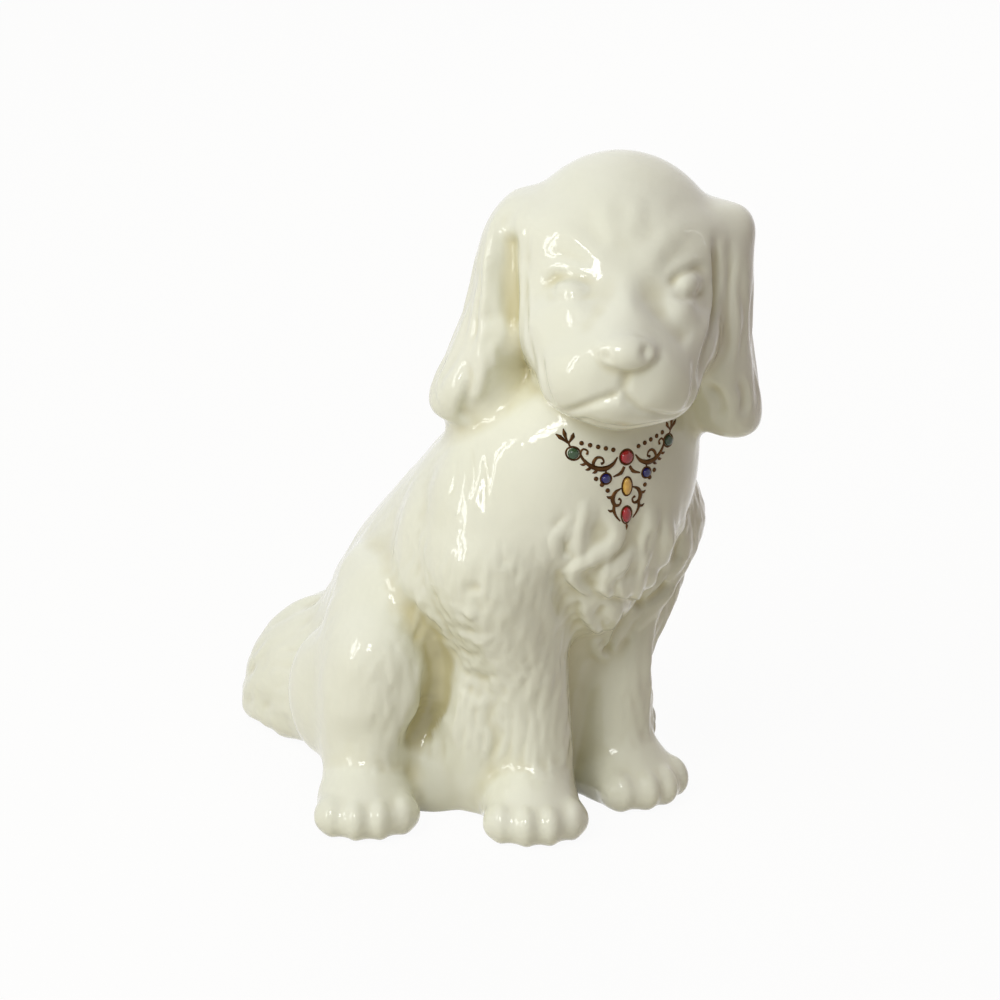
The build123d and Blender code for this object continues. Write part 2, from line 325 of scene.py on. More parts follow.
# Brow ridges, the furrows of the forehead and the hollows beside the bridge, on a sponged face
for line in (
    ((648, 262), (660, 290), (676, 318), (690, 345)), ((604, 262), (592, 290), (574, 318)),
    ((648, 262), (668, 240), (700, 226)), ((604, 262), (580, 244), (548, 230)),
):
    wiped(traced(*line), 7.0, 60)
cut(traced((620, 188), (623, 226), (627, 262)), 3.6, -0.35)
cut(traced((652, 190), (648, 222), (645, 254)), 3.2, -0.28)
cut(traced((588, 198), (594, 228), (602, 256)), 3.2, -0.25)
cut(traced((645, 282), (651, 264), (659, 250), (669, 239), (683, 228), (698, 224)), 3.4, 0.35)
cut(traced((607, 281), (600, 264), (590, 252), (577, 243), (560, 233), (545, 228)), 3.4, 0.35)
cut(traced((662, 278), (668, 261), (677, 249), (690, 239), (706, 235)), 2.6, -0.15)
cut(traced((594, 280), (586, 266), (575, 256), (558, 250), (540, 250)), 2.6, -0.2)
cut(traced((532, 216), (526, 240), (526, 280), (526, 320), (531, 350), (541, 374)), 1.7, -0.45)
cut(traced((713, 232), (717, 260), (716, 300), (712, 335), (700, 362)), 1.6, -0.6)
dab(spot(655, 296), 6.0, -1.2)
dab(spot(604, 295), 6.0, -0.7)
cut(traced((655, 298), (667, 317), (682, 333), (691, 346)), 3.8, -0.6)
cut(traced((603, 300), (592, 317), (576, 332)), 3.0, -0.25)
skin.settle()
# Eyeballs under soft lids, with a full bag below each
dab(spot(689, 283), 3.6, 1.2)
dab(spot(568, 287), 4.6, 0.9)
dab(spot(686, 306), 4.5, 0.35)
dab(spot(571, 308), 5.0, 0.25)
skin.settle()
cut(traced((667, 281), (677, 268), (690, 262), (708, 263)), 1.9, 0.25)
cut(traced((596, 280), (576, 267), (556, 266), (538, 276)), 2.0, 0.25)
skin.settle()
cut(traced((669, 288), (676, 278), (687, 271), (699, 269), (711, 275)), 1.3, -0.75, lead=0.2)
cut(traced((600, 288), (583, 278), (567, 275), (551, 279), (536, 291)), 1.8, -0.8)
cut(traced((669, 293), (689, 297), (710, 290)), 1.2, -0.5)
cut(traced((600, 292), (571, 299), (545, 296)), 1.4, -0.4)
skin.settle()
dab(spot(686, 282), 1.7, 0.25)
# Nose leather with soft nostrils, and the line down to the lip
dab(spot(628, 351), 5.0, 0.5)
nose_rim = (
    (595, 345), (596, 358), (604, 367), (616, 371), (628, 373), (642, 371), (654, 364), (661, 353),
    (659, 341),
)
cut(traced(*nose_rim), 1.4, -0.4)
cut(traced((602, 351), (606, 357), (612, 358)), 1.3, -0.75)
cut(traced((641, 345), (646, 352), (642, 359)), 1.4, -0.8)
cut(traced((627, 373), (625, 384), (621, 394)), 1.5, -0.45, lead=0.1, trail=0.1)
# Mouth, the lower lip under it and the edges of the flews
cut(traced((621, 393), (600, 400), (578, 409), (556, 415)), 1.1, -0.9, lead=0.1)
left_lip = (621, 393), (632, 402), (641, 410), (654, 414), (668, 417), (681, 414), (691, 403)
cut(traced(*left_lip), 1.3, -0.7, lead=0.1)
dab(spot(612, 411), 5.0, 0.4)
cut(traced((570, 420), (586, 420), (603, 425), (627, 428), (652, 424), (677, 418)), 1.1, -0.6)
cut(traced((540, 348), (542, 370), (547, 392), (556, 412)), 1.8, -0.5)
cut(traced((693, 352), (695, 375), (692, 398), (681, 414)), 1.6, -0.5)
skin.settle()

# Ears
# Long flaps that fold over at the root, hollowed in front, with wavy locks that end in full curls.
# The groove between each ear and the cheek is deep; the glaze is thick in it, and its darker tone there is
# partly painted shade.
stand_off = 200 * MM


def drawn(view, *line, step=0.2):
    """A line drawn in a plane of the figure, in mm, and laid on the skin from in front of it."""
    away = view.col[2].to_3d() * stand_off
    starts = [view @ Vector((u * MM, v * MM, 0)) + away for u, v in through(line, step)]
    return laid([(start, -away.normalized()) for start in starts])


def seen(place, turn, rise=0.0):
    """The plane square to a look at a frame from one side, its axes to the right, up and outwards."""
    tilt = Matrix.Rotation(math.radians(turn), 4, "Z") @ Matrix.Rotation(math.radians(90 - rise), 4, "X")
    return place @ tilt


# The back of the skull runs into the neck
nape = between(skin.points, (-22, -26, 66), (26, 10, 102), 6) * eased(skin.normals[:, 1] / 0.35)
skin.sponged(nape, 240)
# Right ear: the hollow front under the fold, its rolled rim and the lobes of its end
cut(traced((518, 214), (508, 214), (501, 228), (499, 262), (498, 310), (502, 345)), 4.4, -1.8)
cut(traced((511, 226), (510, 250), (511, 290), (514, 325), (517, 352), (517, 380)), 2.2, -0.8, lead=0.15)
cut(traced((508, 330), (510, 362), (503, 396)), 3.8, -0.9)
cut(traced((482, 388), (474, 406), (470, 424)), 3.2, -1.0)
cut(traced((719, 225), (716, 280), (712, 330), (702, 368), (694, 392)), 2.2, -0.9, lead=0.15)
skin.settle()
wiped(traced((508, 218), (502, 250), (501, 290), (502, 330), (504, 370), (490, 405)), 4.6, 40)
cut(traced((511, 226), (508, 250), (507, 290), (509, 325), (512, 356)), 3.2, -1.3, lead=0.2)
skin.settle()
rolled_rim = (517, 206), (503, 210), (494, 226), (488, 254), (485, 285), (483, 315), (480, 342), (478, 368)
cut(traced(*rolled_rim), 1.8, 0.6)
cut(traced((483, 258), (479, 290), (474, 320), (471, 348)), 1.4, -0.6)
cut(traced((500, 222), (498, 246), (496, 270)), 1.4, 0.2)
cut(traced((495, 276), (497, 300), (493, 322)), 1.2, 0.25)
cut(traced((504, 308), (503, 330), (499, 350)), 1.3, 0.3)
cut(traced((479, 345), (483, 365), (480, 390), (474, 400)), 1.6, 0.6)
cut(traced((491, 340), (494, 358), (492, 372)), 1.4, 0.5)
cut(traced((468, 360), (470, 380), (463, 408), (462, 426)), 1.6, -0.6)
dab(spot(452, 388), 5.0, 0.6)
# Left ear, seen almost edge on
cut(traced((729, 230), (731, 270), (726, 310), (729, 345), (722, 376)), 1.8, -0.5)
cut(traced((744, 250), (742, 285), (746, 320), (741, 350), (744, 382)), 1.6, -0.4)
cut(traced((702, 384), (715, 392), (722, 409), (716, 428)), 1.7, -1.0)
cut(traced((736, 376), (746, 396), (742, 420)), 1.7, -0.9)
# Waves down the outside of both ears
for turn in (-90, 90):
    for start, sway in ((-3, -1), (0.5, 1), (4, -1), (7.5, 1)):
        wave = [(start + sway * 0.8 * math.sin(0.35 * z), -z) for z in range(-6, 27, 4)]
        cut(drawn(seen(head, turn), *wave), 2.2, -0.45)
skin.settle()

# The sharp edges of the mask and the ears, which catch the light as thin lines
for line in (
    ((525, 232), (527, 262), (531, 290), (530, 330), (534, 352)), ((513, 256), (514, 290), (516, 330)),
    ((711, 240), (713, 270), (711, 300), (707, 330)), ((496, 214), (490, 240), (485, 270), (483, 304)),
    ((722, 250), (724, 300), (720, 345)), ((737, 290), (739, 330), (735, 366)),
    ((446, 362), (438, 386), (443, 412)),
):
    cut(traced(*line), 0.9, 0.3)
skin.settle()

# Chest ruff
# Below the necklace the coat is combed into S-shaped locks, laid over each other in two tiers, on a
# chest that is sponged first and parted from the right shoulder by a valley.


def lock(path, width, height):
    """A raised lock of hair, soft in section, that thins to a point and lies over what is under it."""
    if len(path[0]) < 2:
        return
    found, along, away = skin.near(path, width)
    half = width * np.sqrt(np.clip(1 - along**3, 0.02, 1))
    rise = height * eased(along / 0.3) * eased(1.15 * (1 - away / half))
    skin.coat[found] = np.maximum(skin.coat[found], rise)


for width, passes, *line in (
    (9.0, 40, (556, 505), (600, 530), (660, 520), (640, 570), (590, 570), (600, 610), (640, 605), (605, 650)),
    (9.0, 140, (552, 478), (536, 498), (534, 522), (542, 550), (558, 585)),
    (7.0, 120, (558, 600), (564, 622), (576, 633), (594, 634)),
):
    wiped(traced(*line), width, passes)
cut(traced((548, 552), (557, 578), (566, 602), (575, 630), (582, 662)), 4.0, -1.2)
skin.settle()
# Each lock's width, height and line
lower_locks = (
    (2.1, 1.1, (590, 597), (588, 610), (592, 622), (601, 634)),
    (1.8, 1.1, (601, 630), (597, 641), (601, 652), (608, 657)),
    (2.3, 1.2, (618, 600), (613, 617), (606, 632), (603, 645)),
    (2.2, 1.1, (640, 603), (629, 618), (619, 634), (613, 650)),
    (2.0, 1.0, (662, 594), (648, 608), (634, 622), (622, 640)),
    (1.8, 0.9, (677, 582), (664, 596), (650, 612), (636, 628)),
)
upper_locks = (
    (2.0, 0.5, (577, 514), (566, 526), (558, 538), (558, 552)),
    (2.2, 0.6, (588, 496), (587, 515), (582, 532), (580, 556)),
    (2.4, 1.3, (598, 494), (611, 512), (618, 529), (613, 544), (600, 554), (585, 562), (575, 569), (577, 581),
     (588, 594)),
    (2.8, 1.4, (640, 540), (632, 556), (619, 566), (608, 574), (604, 585), (609, 597)),
    (1.8, 1.0, (637, 552), (628, 568), (621, 582), (622, 598)),
    (2.3, 1.2, (652, 498), (651, 522), (646, 540), (644, 556), (640, 572)),
    (2.3, 1.2, (667, 505), (668, 535), (666, 555), (661, 575), (652, 594)),
    (2.1, 1.1, (682, 510), (681, 545), (674, 565), (664, 582)),
    (1.7, 0.9, (656, 566), (650, 585), (643, 602)), (1.7, 0.9, (642, 564), (640, 584), (636, 600)),
    (1.7, 0.8, (632, 570), (629, 586), (625, 599)),
)
for tier in (lower_locks, upper_locks):
    for width, height, *line in tier:
        lock(traced(*line), width, height)
    skin.settle()
    # Each lock is parted by a fine groove beside its crest
    for _, _, *line in tier:
        cut(traced(*[(across + 4, down + 1) for across, down in line]), 0.9, -0.35)
    skin.settle()
# The hollows between the locks
for width, depth, *line in (
    (1.7, -0.7, (568, 535), (565, 547), (568, 558)), (2.0, -0.35, (551, 529), (560, 523), (571, 511)),
    (2.2, -0.4, (599, 518), (595, 534), (599, 547)), (1.7, -0.6, (590, 570), (589, 580), (597, 590)),
    (1.3, -0.6, (638, 556), (630, 571), (625, 585)), (1.4, -0.7, (657, 530), (651, 544), (650, 560)),
    (1.2, -0.5, (674, 545), (671, 565), (664, 580)), (1.3, -0.5, (601, 604), (597, 618)),
    (1.5, -0.8, (588, 597), (610, 600), (640, 603), (655, 595), (668, 580), (680, 572)),
    (1.2, -0.5, (607, 636), (604, 646), (609, 654)),
    (1.3, -0.6, (652, 605), (640, 620), (628, 636), (618, 652)),
):
    cut(traced(*line), width, depth)
skin.settle()

# Coat
# Over the rest the coat is short: fine strokes combed with the hair, deeper on the forelegs and the
# tail, with loose curls behind the forelegs, and almost nothing on the forehead and the haunch.
hair_step, hair_curl = 0.4, 0.6


def combed(share, flow, count, length, width, depth, seed):
    """Strokes of hair that start at random in a part of the skin and follow the way it lies."""
    chooser = np.random.default_rng(seed)
    for start in chooser.choice(np.flatnonzero(share > 0.5), count):
        at, facing = Vector(skin.points[start]) * MM, Vector(skin.normals[start])
        reach, sway = length * chooser.uniform(0.6, 1.3), chooser.uniform(-hair_curl, hair_curl)
        spots, normals = [], []
        for k in range(int(reach / hair_step)):
            spots.append(at / MM)
            normals.append(facing)
            way = Vector(flow).normalized()
            way += facing.cross(way) * sway * math.sin(k * hair_step * 2 * math.pi / reach)
            way -= facing * facing.dot(way)
            at, facing = skin.tree.find_nearest(at + way.normalized() * hair_step * MM)[:2]
        hair = np.array(spots), np.array(normals)
        cut(hair, width, depth * chooser.uniform(0.5, 1.2), lead=0.4, trail=0.4)


def streaked(share, flow, width, length, depth):
    """Fine combed hair: long ridges and grooves that follow a flow and wave a little."""
    along = Vector(flow).normalized()
    across = along.cross(Vector((0.6, 0.3, 0.1))).normalized()
    lay = Matrix((across / width, along.cross(across) / width, along / length))
    for k in np.flatnonzero(share > 0.01):
        at = Vector(skin.points[k])
        wave = noise.noise(at / (length * 0.9)) * 1.1
        skin.lift[k] += depth * share[k] * noise.fractal(lay @ at + Vector((wave, wave, 0)), 1.0, 2.0, 2)


# The thigh is a round knob with a deep hollow between it and the belly, on either side of the dog,
# and the right one runs into the tail behind it without an edge
skin.sponged(between(skin.points, (-60, 8, -9), (-8, 44, 46), 7), 240)
skin.sponged(between(skin.points, (8, 12, -9), (60, 44, 46), 7), 60)
right_hollow = (378, 588), (405, 611), (429, 638), (438, 668), (432, 704), (414, 736), (402, 762)
left_hollow = (2.5, 38), (-5, 33), (-9, 26), (-8.5, 18), (-5, 10)
for width, depth in ((5.5, -1.3), (4.4, -1.1)):
    cut(traced(*right_hollow), width, depth, lead=0.35, trail=0.2)
    cut(drawn(seen(here, 55, 15), *left_hollow), width, depth, trail=0.2)
    skin.settle()
dab(spot(366, 652), 10.0, 1.6)
dab(drawn(seen(here, 90), (2, 28), (2, 28.2)), 11.0, 2.2)
cut(drawn(seen(here, 90), (8, 42), (17, 38), (21, 28), (20, 16), (16, 6)), 5.5, -1.6, trail=0.2)
cut(traced((402, 716), (380, 732), (350, 739), (326, 734)), 5.0, -0.5)
# The shoulders and elbows swell, so that they catch the window light from above
for side in (-1, 1):
    dab(drawn(seen(here, side * 62), (side * -6, 46), (side * -6, 47)), 20.0, 1.5)
dab(spot(522, 535), 15.0, 1.2)
skin.settle()
# Curls of the belly hair behind the right foreleg, and the lines of the neck below the ear
for depth, *line in (
    (-0.45, (462, 594), (472, 588), (484, 592)), (0.35, (458, 607), (469, 615), (480, 611)),
    (-0.5, (453, 624), (464, 632), (478, 629)), (0.4, (470, 640), (483, 643), (496, 634)),
    (-0.4, (457, 646), (469, 655), (484, 653)), (0.4, (461, 664), (472, 668), (481, 663)),
    (-0.45, (474, 676), (485, 679), (495, 671)), (-0.35, (458, 684), (468, 690), (477, 687)),
    (0.3, (466, 702), (478, 704), (489, 697)),
):
    cut(traced(*line), 1.4, depth)
for line in (
    ((470, 440), (473, 470), (467, 506)), ((484, 446), (486, 480), (480, 522)),
    ((457, 450), (456, 480), (446, 510)),
):
    cut(traced(*line), 1.5, -0.3)
skin.settle()

p = skin.points
forelegs = between(p, (-40, -40, 8), (40, 2, 58), 6) * eased((abs(p[:, 0]) - 4) / 4)
behind_forelegs = between(p, (-30, -14, 10), (30, 6, 52), 4) * eased((abs(p[:, 0]) - 12) / 3)
flanks = between(p, (-40, -12, 30), (40, 45, 80), 8)
tail = between(p, (-50, 33, -6), (50, 70, 50), 5)
haunches = between(p, (-50, -12, 6), (50, 34, 40), 6) * eased((abs(p[:, 0]) - 18) / 4)
flank_flow, tail_flow = (0, 0.7, -1), (-0.35, 1, -0.5)
combed(flanks, flank_flow, count=24, length=20, width=3.0, depth=-0.2, seed=2)
combed(tail, tail_flow, count=50, length=17, width=2.2, depth=-0.35, seed=3)
streaked(forelegs, (0, 0.15, -1), width=0.95, length=7, depth=0.42)
streaked(behind_forelegs, (0, 0.5, -1), width=1.1, length=6, depth=0.15)
streaked(flanks, flank_flow, width=2.2, length=18, depth=0.1)
streaked(tail, tail_flow, width=1.6, length=11, depth=0.24)
streaked(haunches, (0, 0.4, -1), width=1.4, length=10, depth=0.07)
skin.settle()

# Glaze
# Bone china under a thick clear glaze, dipped and fired: a hard, wet shine, a body colour of warm
# ivory, and a darker, yellower tone in the cuts and hollows, partly thicker glaze and partly painted shade.


def linear(hex_colour):
    """A written sRGB colour as the linear one that a shader takes."""
    parts = [int(hex_colour[k:k + 2], 16) / 255 for k in (1, 3, 5)]
    return [c / 12.92 if c < 0.04045 else ((c + 0.055) / 1.055) ** 2.4 for c in parts] + [1]


def node(material, kind, inputs={}, **settings):
    """Adds one shader node, with its settings, and links or sets its inputs."""
    made = material.node_tree.nodes.new(kind)
    for name, value in settings.items():
        setattr(made, name, value)
    for socket, value in inputs.items():
        if isinstance(value, bpy.types.NodeSocket):
            material.node_tree.links.new(value, made.inputs[socket])
        else:
            made.inputs[socket].default_value = value
    return made


def finish_named(name):
    """An empty node material and its shader."""
    material = bpy.data.materials.new(name)
    material.use_nodes = True
    return material, material.node_tree.nodes["Principled BSDF"]


# The vent that lets the hot air out when the piece is fired
vent_back, vent_radius, vent_depth, foot_height = 20, 1.75, 4, 1
vent = np.hypot(skin.points[:, 0], skin.points[:, 1] - vent_back) < vent_radius
skin.points[vent & (skin.points[:, 2] < foot_height), 2] += vent_depth
# The glaze fills the finest cuts and rounds their edges over. Hollow places are coloured darker and yellower,
# partly for thicker glaze and partly as painted shade: a hollow of so many mm, against the skin, has the full
# tone
skin.points = skin.evened(skin.points, 2)
skin.settle()
fine_hollow = np.einsum("ij,ij->i", skin.evened(skin.points, 16) - skin.points, skin.normals)
broad_hollow = np.einsum("ij,ij->i", skin.evened(skin.points, 90) - skin.points, skin.normals)
full_fine_hollow, full_broad_hollow = 0.8, 2.4
glaze_pool_and_painted_shade = np.clip(fine_hollow / full_fine_hollow + np.maximum(broad_hollow, 0) / full_broad_hollow, 0, 1)

# Clouds of tone as wide as a finger, and the slow ripple of a dipped glaze, which breaks up reflections
cloud_size, ripple_size, ripple_height = 18 * MM, 5 * MM, 0.3 * MM
glaze, shader = finish_named("ivory_glazed_china")
glaze_pool_and_shade_node = node(glaze, "ShaderNodeAttribute", attribute_name="glaze_pool_and_painted_shade")
where = node(glaze, "ShaderNodeTexCoord")
cloud = node(
    glaze, "ShaderNodeTexNoise", {"Vector": where.outputs["Object"], "Scale": 1 / cloud_size, "Detail": 2},
)
body_tone = node(
    glaze, "ShaderNodeMix", {"Factor": cloud.outputs["Fac"], "A": linear("#e7e7d8"), "B": linear("#dfdfca")},
    data_type="RGBA",
)
# A darker, yellower tone in the hollows: partly thicker glaze, partly painted shade
tone = node(
    glaze, "ShaderNodeMix",
    {"Factor": glaze_pool_and_shade_node.outputs["Fac"], "A": body_tone.outputs["Result"], "B": linear("#c6bf97")},
    data_type="RGBA",
)
ripple = node(
    glaze, "ShaderNodeTexNoise", {"Vector": where.outputs["Object"], "Scale": 1 / ripple_size, "Detail": 2.5},
)
swim = node(
    glaze, "ShaderNodeBump", {"Height": ripple.outputs["Fac"], "Strength": 0.6, "Distance": ripple_height},
)
glaze.node_tree.links.new(tone.outputs["Result"], shader.inputs["Base Color"])
glaze.node_tree.links.new(swim.outputs["Normal"], shader.inputs["Normal"])
shader.inputs["Roughness"].default_value = 0.07
shader.inputs["IOR"].default_value = 1.52

# The skin is parted again along the joints of the castings. Each casting's cut edge turns in under
# its neighbour and is closed there, and it keeps the whole skin's normals, so that no joint shows.
corners, triangles, owner = [], [], []
for k, name in enumerate(castings):
    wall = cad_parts[name].data
    wall.calc_loop_triangles()
    first = len(corners)
    corners += [v.co for v in wall.vertices]
    triangles += [[first + i for i in t.vertices] for t in wall.loop_triangles]
    owner += [k] * len(wall.loop_triangles)
walls = BVHTree.FromPolygons(corners, triangles)
nearest = [owner[walls.find_nearest(Vector(p) * MM)[2]] for p in skin.points]
share = skin.evened(np.eye(len(castings))[nearest], 12)
quads = np.empty(len(figure.data.loops), int)
figure.data.loops.foreach_get("vertex_index", quads)
quads = quads.reshape(-1, 4)
part = share[quads].sum(axis=1).argmax(axis=1)
rim_depth = 1.2
for k, name in enumerate(castings):
    used, faces = np.unique(quads[part == k], return_inverse=True)
    faces = faces.reshape(-1, 4)
    points, normals = skin.points[used], skin.normals[used]
    sides = {(int(f[i]), int(f[(i + 1) % 4])) for f in faces for i in range(4)}
    rim = {a: b for a, b in sides if (b, a) not in sides}
    inner = {a: len(points) + i for i, a in enumerate(rim)}
    points = np.vstack([points, points[list(rim)] - normals[list(rim)] * rim_depth])
    closing = [(b, a, inner[a], inner[b]) for a, b in rim.items() if b in inner]
    while rim:
        start, at = rim.popitem()
        loop = [start]
        while at != start and at in rim:
            loop.append(at)
            at = rim.pop(at)
        points = np.vstack([points, points[[inner[a] for a in loop]].mean(axis=0)])
        closing += [(inner[b], inner[a], len(points) - 1) for a, b in zip(loop, loop[1:] + loop[:1])]
    mesh = bpy.data.meshes.new("china_" + name)
    mesh.from_pydata((points * MM).tolist(), [], faces.tolist() + closing)
    mesh.polygons.foreach_set("use_smooth", [True] * len(mesh.polygons))
    corner_normals = np.zeros((len(mesh.loops), 3))
    corner_normals[:faces.size] = normals[faces.ravel()]
    mesh.normals_split_custom_set(corner_normals)
    # The hollows' darker tone goes with each piece: partly thicker glaze, partly painted shade
    depth = mesh.attributes.new("glaze_pool_and_painted_shade", "FLOAT", "POINT")
    depth.data.foreach_set("value", np.concatenate([glaze_pool_and_painted_shade[used], np.ones(len(points) - len(used))]))
    mesh.materials.append(glaze)
    piece = bpy.data.objects.new("china_" + name, mesh)
    bpy.context.scene.collection.objects.link(piece)
    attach(piece, "root")
    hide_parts(name)
bpy.data.objects.remove(figure)

# Necklace gilding
# The necklace is drawn on the fired glaze with a fine brush in raised paste, gilded and fired again:
# scrolls that swell and thin, rings round the stones, sprigs and beads, in burnished gold whose dark brown
# colour is a painted reflection of a dark room.
rubbed_size, brush_mark_size, brush_mark_height = 1.5 * MM, 0.3 * MM, 0.03 * MM
gilding, shader = finish_named("gilding_with_painted_dark_reflection")
where = node(gilding, "ShaderNodeTexCoord")
rubbed = node(
    gilding, "ShaderNodeTexNoise", {"Vector": where.outputs["Object"], "Scale": 1 / rubbed_size, "Detail": 3},
)
# The gold is painted dark brown, between two tones at random, as a painted reflection of a dark room
gold = node(
    gilding, "ShaderNodeMix",
    {"Factor": rubbed.outputs["Fac"], "A": linear("#24150b"), "B": linear("#634426")},
    data_type="RGBA",
)
brush_marks = node(
    gilding, "ShaderNodeTexNoise", {"Vector": where.outputs["Object"], "Scale": 1 / brush_mark_size},
)
paste = node(
    gilding, "ShaderNodeBump",
    {"Height": brush_marks.outputs["Fac"], "Strength": 0.4, "Distance": brush_mark_height},
)
gilding.node_tree.links.new(gold.outputs["Result"], shader.inputs["Base Color"])
gilding.node_tree.links.new(paste.outputs["Normal"], shader.inputs["Normal"])
shader.inputs["Metallic"].default_value = 1.0
shader.inputs["Roughness"].default_value = 0.3

centre_low, centre_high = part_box("red_centre_jewel")
necklace = seen(Matrix.Translation((Vector(centre_low) + Vector(centre_high)) / 2), -18)
ring_width, bead_radius, bead_rise, sunk_share = 0.38, 0.42, 0.6, 0.2


def seated(across, up):
    """A frame on the glaze at a place on the necklace, its third axis square to the surface."""
    spots, facing = drawn(necklace, (across, up), (across, up + 0.1))
    out = Vector(facing[0])
    to_left = necklace.col[0].to_3d()
    to_left = (to_left - out * out.dot(to_left)).normalized()
    turn = Matrix((to_left, out.cross(to_left), out)).transposed().to_4x4()
    return Matrix.Translation(Vector(spots[0]) * MM) @ turn


def brushed(line, widths):
    """One stroke of raised gold on the glaze, with its widths along it in mm."""
    spots, facing = drawn(necklace, *line, step=0.1)
    stroke = bpy.data.curves.new("stroke", "CURVE")
    stroke.dimensions, stroke.bevel_depth, stroke.bevel_resolution = "3D", 0.5 * MM, 2
    stroke.use_fill_caps = True
    points = stroke.splines.new("POLY").points
    points.add(len(spots) - 1)
    along = np.linspace(0, len(widths) - 1, len(spots))
    swelling = np.interp(along, range(len(widths)), widths)
    for point, spot_mm, out, width in zip(points, spots, facing, swelling):
        point.co = (*(spot_mm - out * width * sunk_share) * MM, 1)
        point.radius = width
    made = bpy.data.objects.new("stroke", stroke)
    bpy.context.scene.collection.objects.link(made)
    return made


def mirrored(side, line, *widths):
    """A stroke drawn on the dog's left, and mirrored where the side is -1."""
    return brushed([(side * across, up) for across, up in line], widths)


def ringed(across, up, half_width, half_height):
    """A ring of gold round a stone, its ends lapped at the top."""
    turns = [math.radians(90 + 15 * k) for k in range(26)]
    line = [(across + half_width * math.cos(t), up + half_height * math.sin(t)) for t in turns]
    return brushed(line, [ring_width] * 2)


def bead(across, up):
    """A drop of raised gold."""
    bpy.ops.mesh.primitive_ico_sphere_add(subdivisions=2, radius=bead_radius * MM)
    drop = bpy.context.object
    drop.data.transform(seated(across, up) @ Matrix.Diagonal((1, 1, bead_rise, 1)))
    return drop


def gilded(name, strokes):
    """Strokes and beads made one piece of gilding that stands for a CAD node."""
    bpy.ops.object.select_all(action="DESELECT")
    for stroke in strokes:
        stroke.select_set(True)
    bpy.context.view_layer.objects.active = strokes[0]
    bpy.ops.object.convert(target="MESH")
    bpy.ops.object.join()
    piece = bpy.context.object
    piece.name = "raised_" + name
    bpy.ops.object.shade_smooth()
    piece.data.materials.append(gilding)
    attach(piece, "root")
    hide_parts(name)


rows = [
    ringed(0, 0, 1.3, 1.3), ringed(0, -5.1, 0.95, 1.65), ringed(0, -10.2, 1.1, 1.5),
    brushed([(0, -11.8), (0, -12.3), (0, -12.9)], (0.5, 0.9, 0.7, 0.15)),
]
for side in (-1, 1):
    rows += [bead(side * (2.4 + 1.3 * k), 1.5 + 0.35 * k) for k in range(5)]
    rows += [bead(side * (5.6 - k), -3.2 - 1.1 * k) for k in range(3)]
gilded("gilt_beads", rows)
for side, name in ((-1, "right"), (1, "left")):
    gilded(name + "_festoon_scroll", [
        mirrored(
            side, [(1.7, 0.2), (2.6, -0.9), (3.9, -1.5), (5.3, -1.45), (6.6, -0.8), (7.6, 0.3), (7.9, 1.3),
                   (7.4, 1.9), (6.8, 1.6), (6.9, 1.0)], 0.3, 0.8, 1.1, 1.0, 0.7, 0.5, 0.45, 0.4, 0.6,
        ),
        mirrored(
            side, [(6.0, -1.25), (5.9, -0.3), (5.3, 0.4), (4.5, 0.3), (4.2, -0.4), (4.7, -0.7)],
            0.5, 0.7, 0.6, 0.45, 0.4, 0.6,
        ),
        mirrored(side, [(5.3, -1.5), (5.7, -2.0), (6.2, -2.2)], 0.4, 0.7, 0.6, 0.15),
        mirrored(side, [(6.3, -1.1), (6.8, -1.5), (7.3, -1.6)], 0.4, 0.7, 0.6, 0.15),
        mirrored(side, [(7.1, -0.4), (7.6, -0.7), (8.1, -0.6)], 0.4, 0.6, 0.5, 0.15),
        mirrored(side, [(3.9, -1.5), (3.9, -2.2)], 0.6, 0.4),
        ringed(side * 3.9, -3.3, 0.95, 0.95),
    ])
    gilded(name + "_pendant_scroll", [
        mirrored(side, [(0.5, -1.6), (1.2, -2.6), (2.6, -3.1)], 0.6, 0.8, 0.3),
        mirrored(
            side, [(1.1, -5.3), (2.2, -5.9), (2.7, -7.0), (2.3, -8.1), (1.4, -8.2), (1.1, -7.5), (1.6, -7.1)],
            0.3, 0.8, 1.0, 0.8, 0.5, 0.4, 0.6,
        ),
        mirrored(side, [(2.4, -8.0), (2.5, -9.1), (2.1, -10.1), (1.4, -11.0)], 0.7, 0.7, 0.5, 0.3),
        mirrored(side, [(2.7, -6.6), (3.3, -6.7), (3.8, -6.4)], 0.5, 0.7, 0.6, 0.15),
        mirrored(side, [(2.5, -8.9), (3.1, -9.1), (3.6, -8.8)], 0.4, 0.6, 0.5, 0.15),
    ])
    gilded(name + "_sprig", [
        mirrored(side, [(9.3, 2.2), (9.5, 2.9), (8.9, 3.8), (8.6, 4.6)], 0.4, 0.4, 0.5, 0.9, 0.2),
        mirrored(side, [(9.6, 2.9), (9.9, 4.0), (10.0, 5.2)], 0.4, 0.5, 0.9, 0.2),
        mirrored(side, [(9.6, 2.9), (10.4, 3.6), (11.2, 4.3)], 0.4, 0.5, 0.9, 0.2),
        ringed(side * 9.0, 1.2, 1.1, 1.1),
    ])

# Necklace stones
# Drops of coloured enamel, fired on the glaze in their gold rings: smooth domes with a glassy shine,
# a little cloudy in colour, on a flat back that sits in the glaze.
streak_size = 1.1 * MM
flat_back, set_in = (0, 0, 0.02), (0, 0, -0.8)


def enamel(name, deep, clear):
    """A coloured glass enamel, streaked between two tones."""
    finish, shader = finish_named(name)
    where = node(finish, "ShaderNodeTexCoord")
    streaks = node(
        finish, "ShaderNodeTexNoise",
        {"Vector": where.outputs["Object"], "Scale": 1 / streak_size, "Detail": 2},
    )
    tone = node(
        finish, "ShaderNodeMix", {"Factor": streaks.outputs["Fac"], "A": linear(deep), "B": linear(clear)},
        data_type="RGBA",
    )
    finish.node_tree.links.new(tone.outputs["Result"], shader.inputs["Base Color"])
    shader.inputs["Roughness"].default_value = 0.06
    shader.inputs["IOR"].default_value = 1.55
    return finish


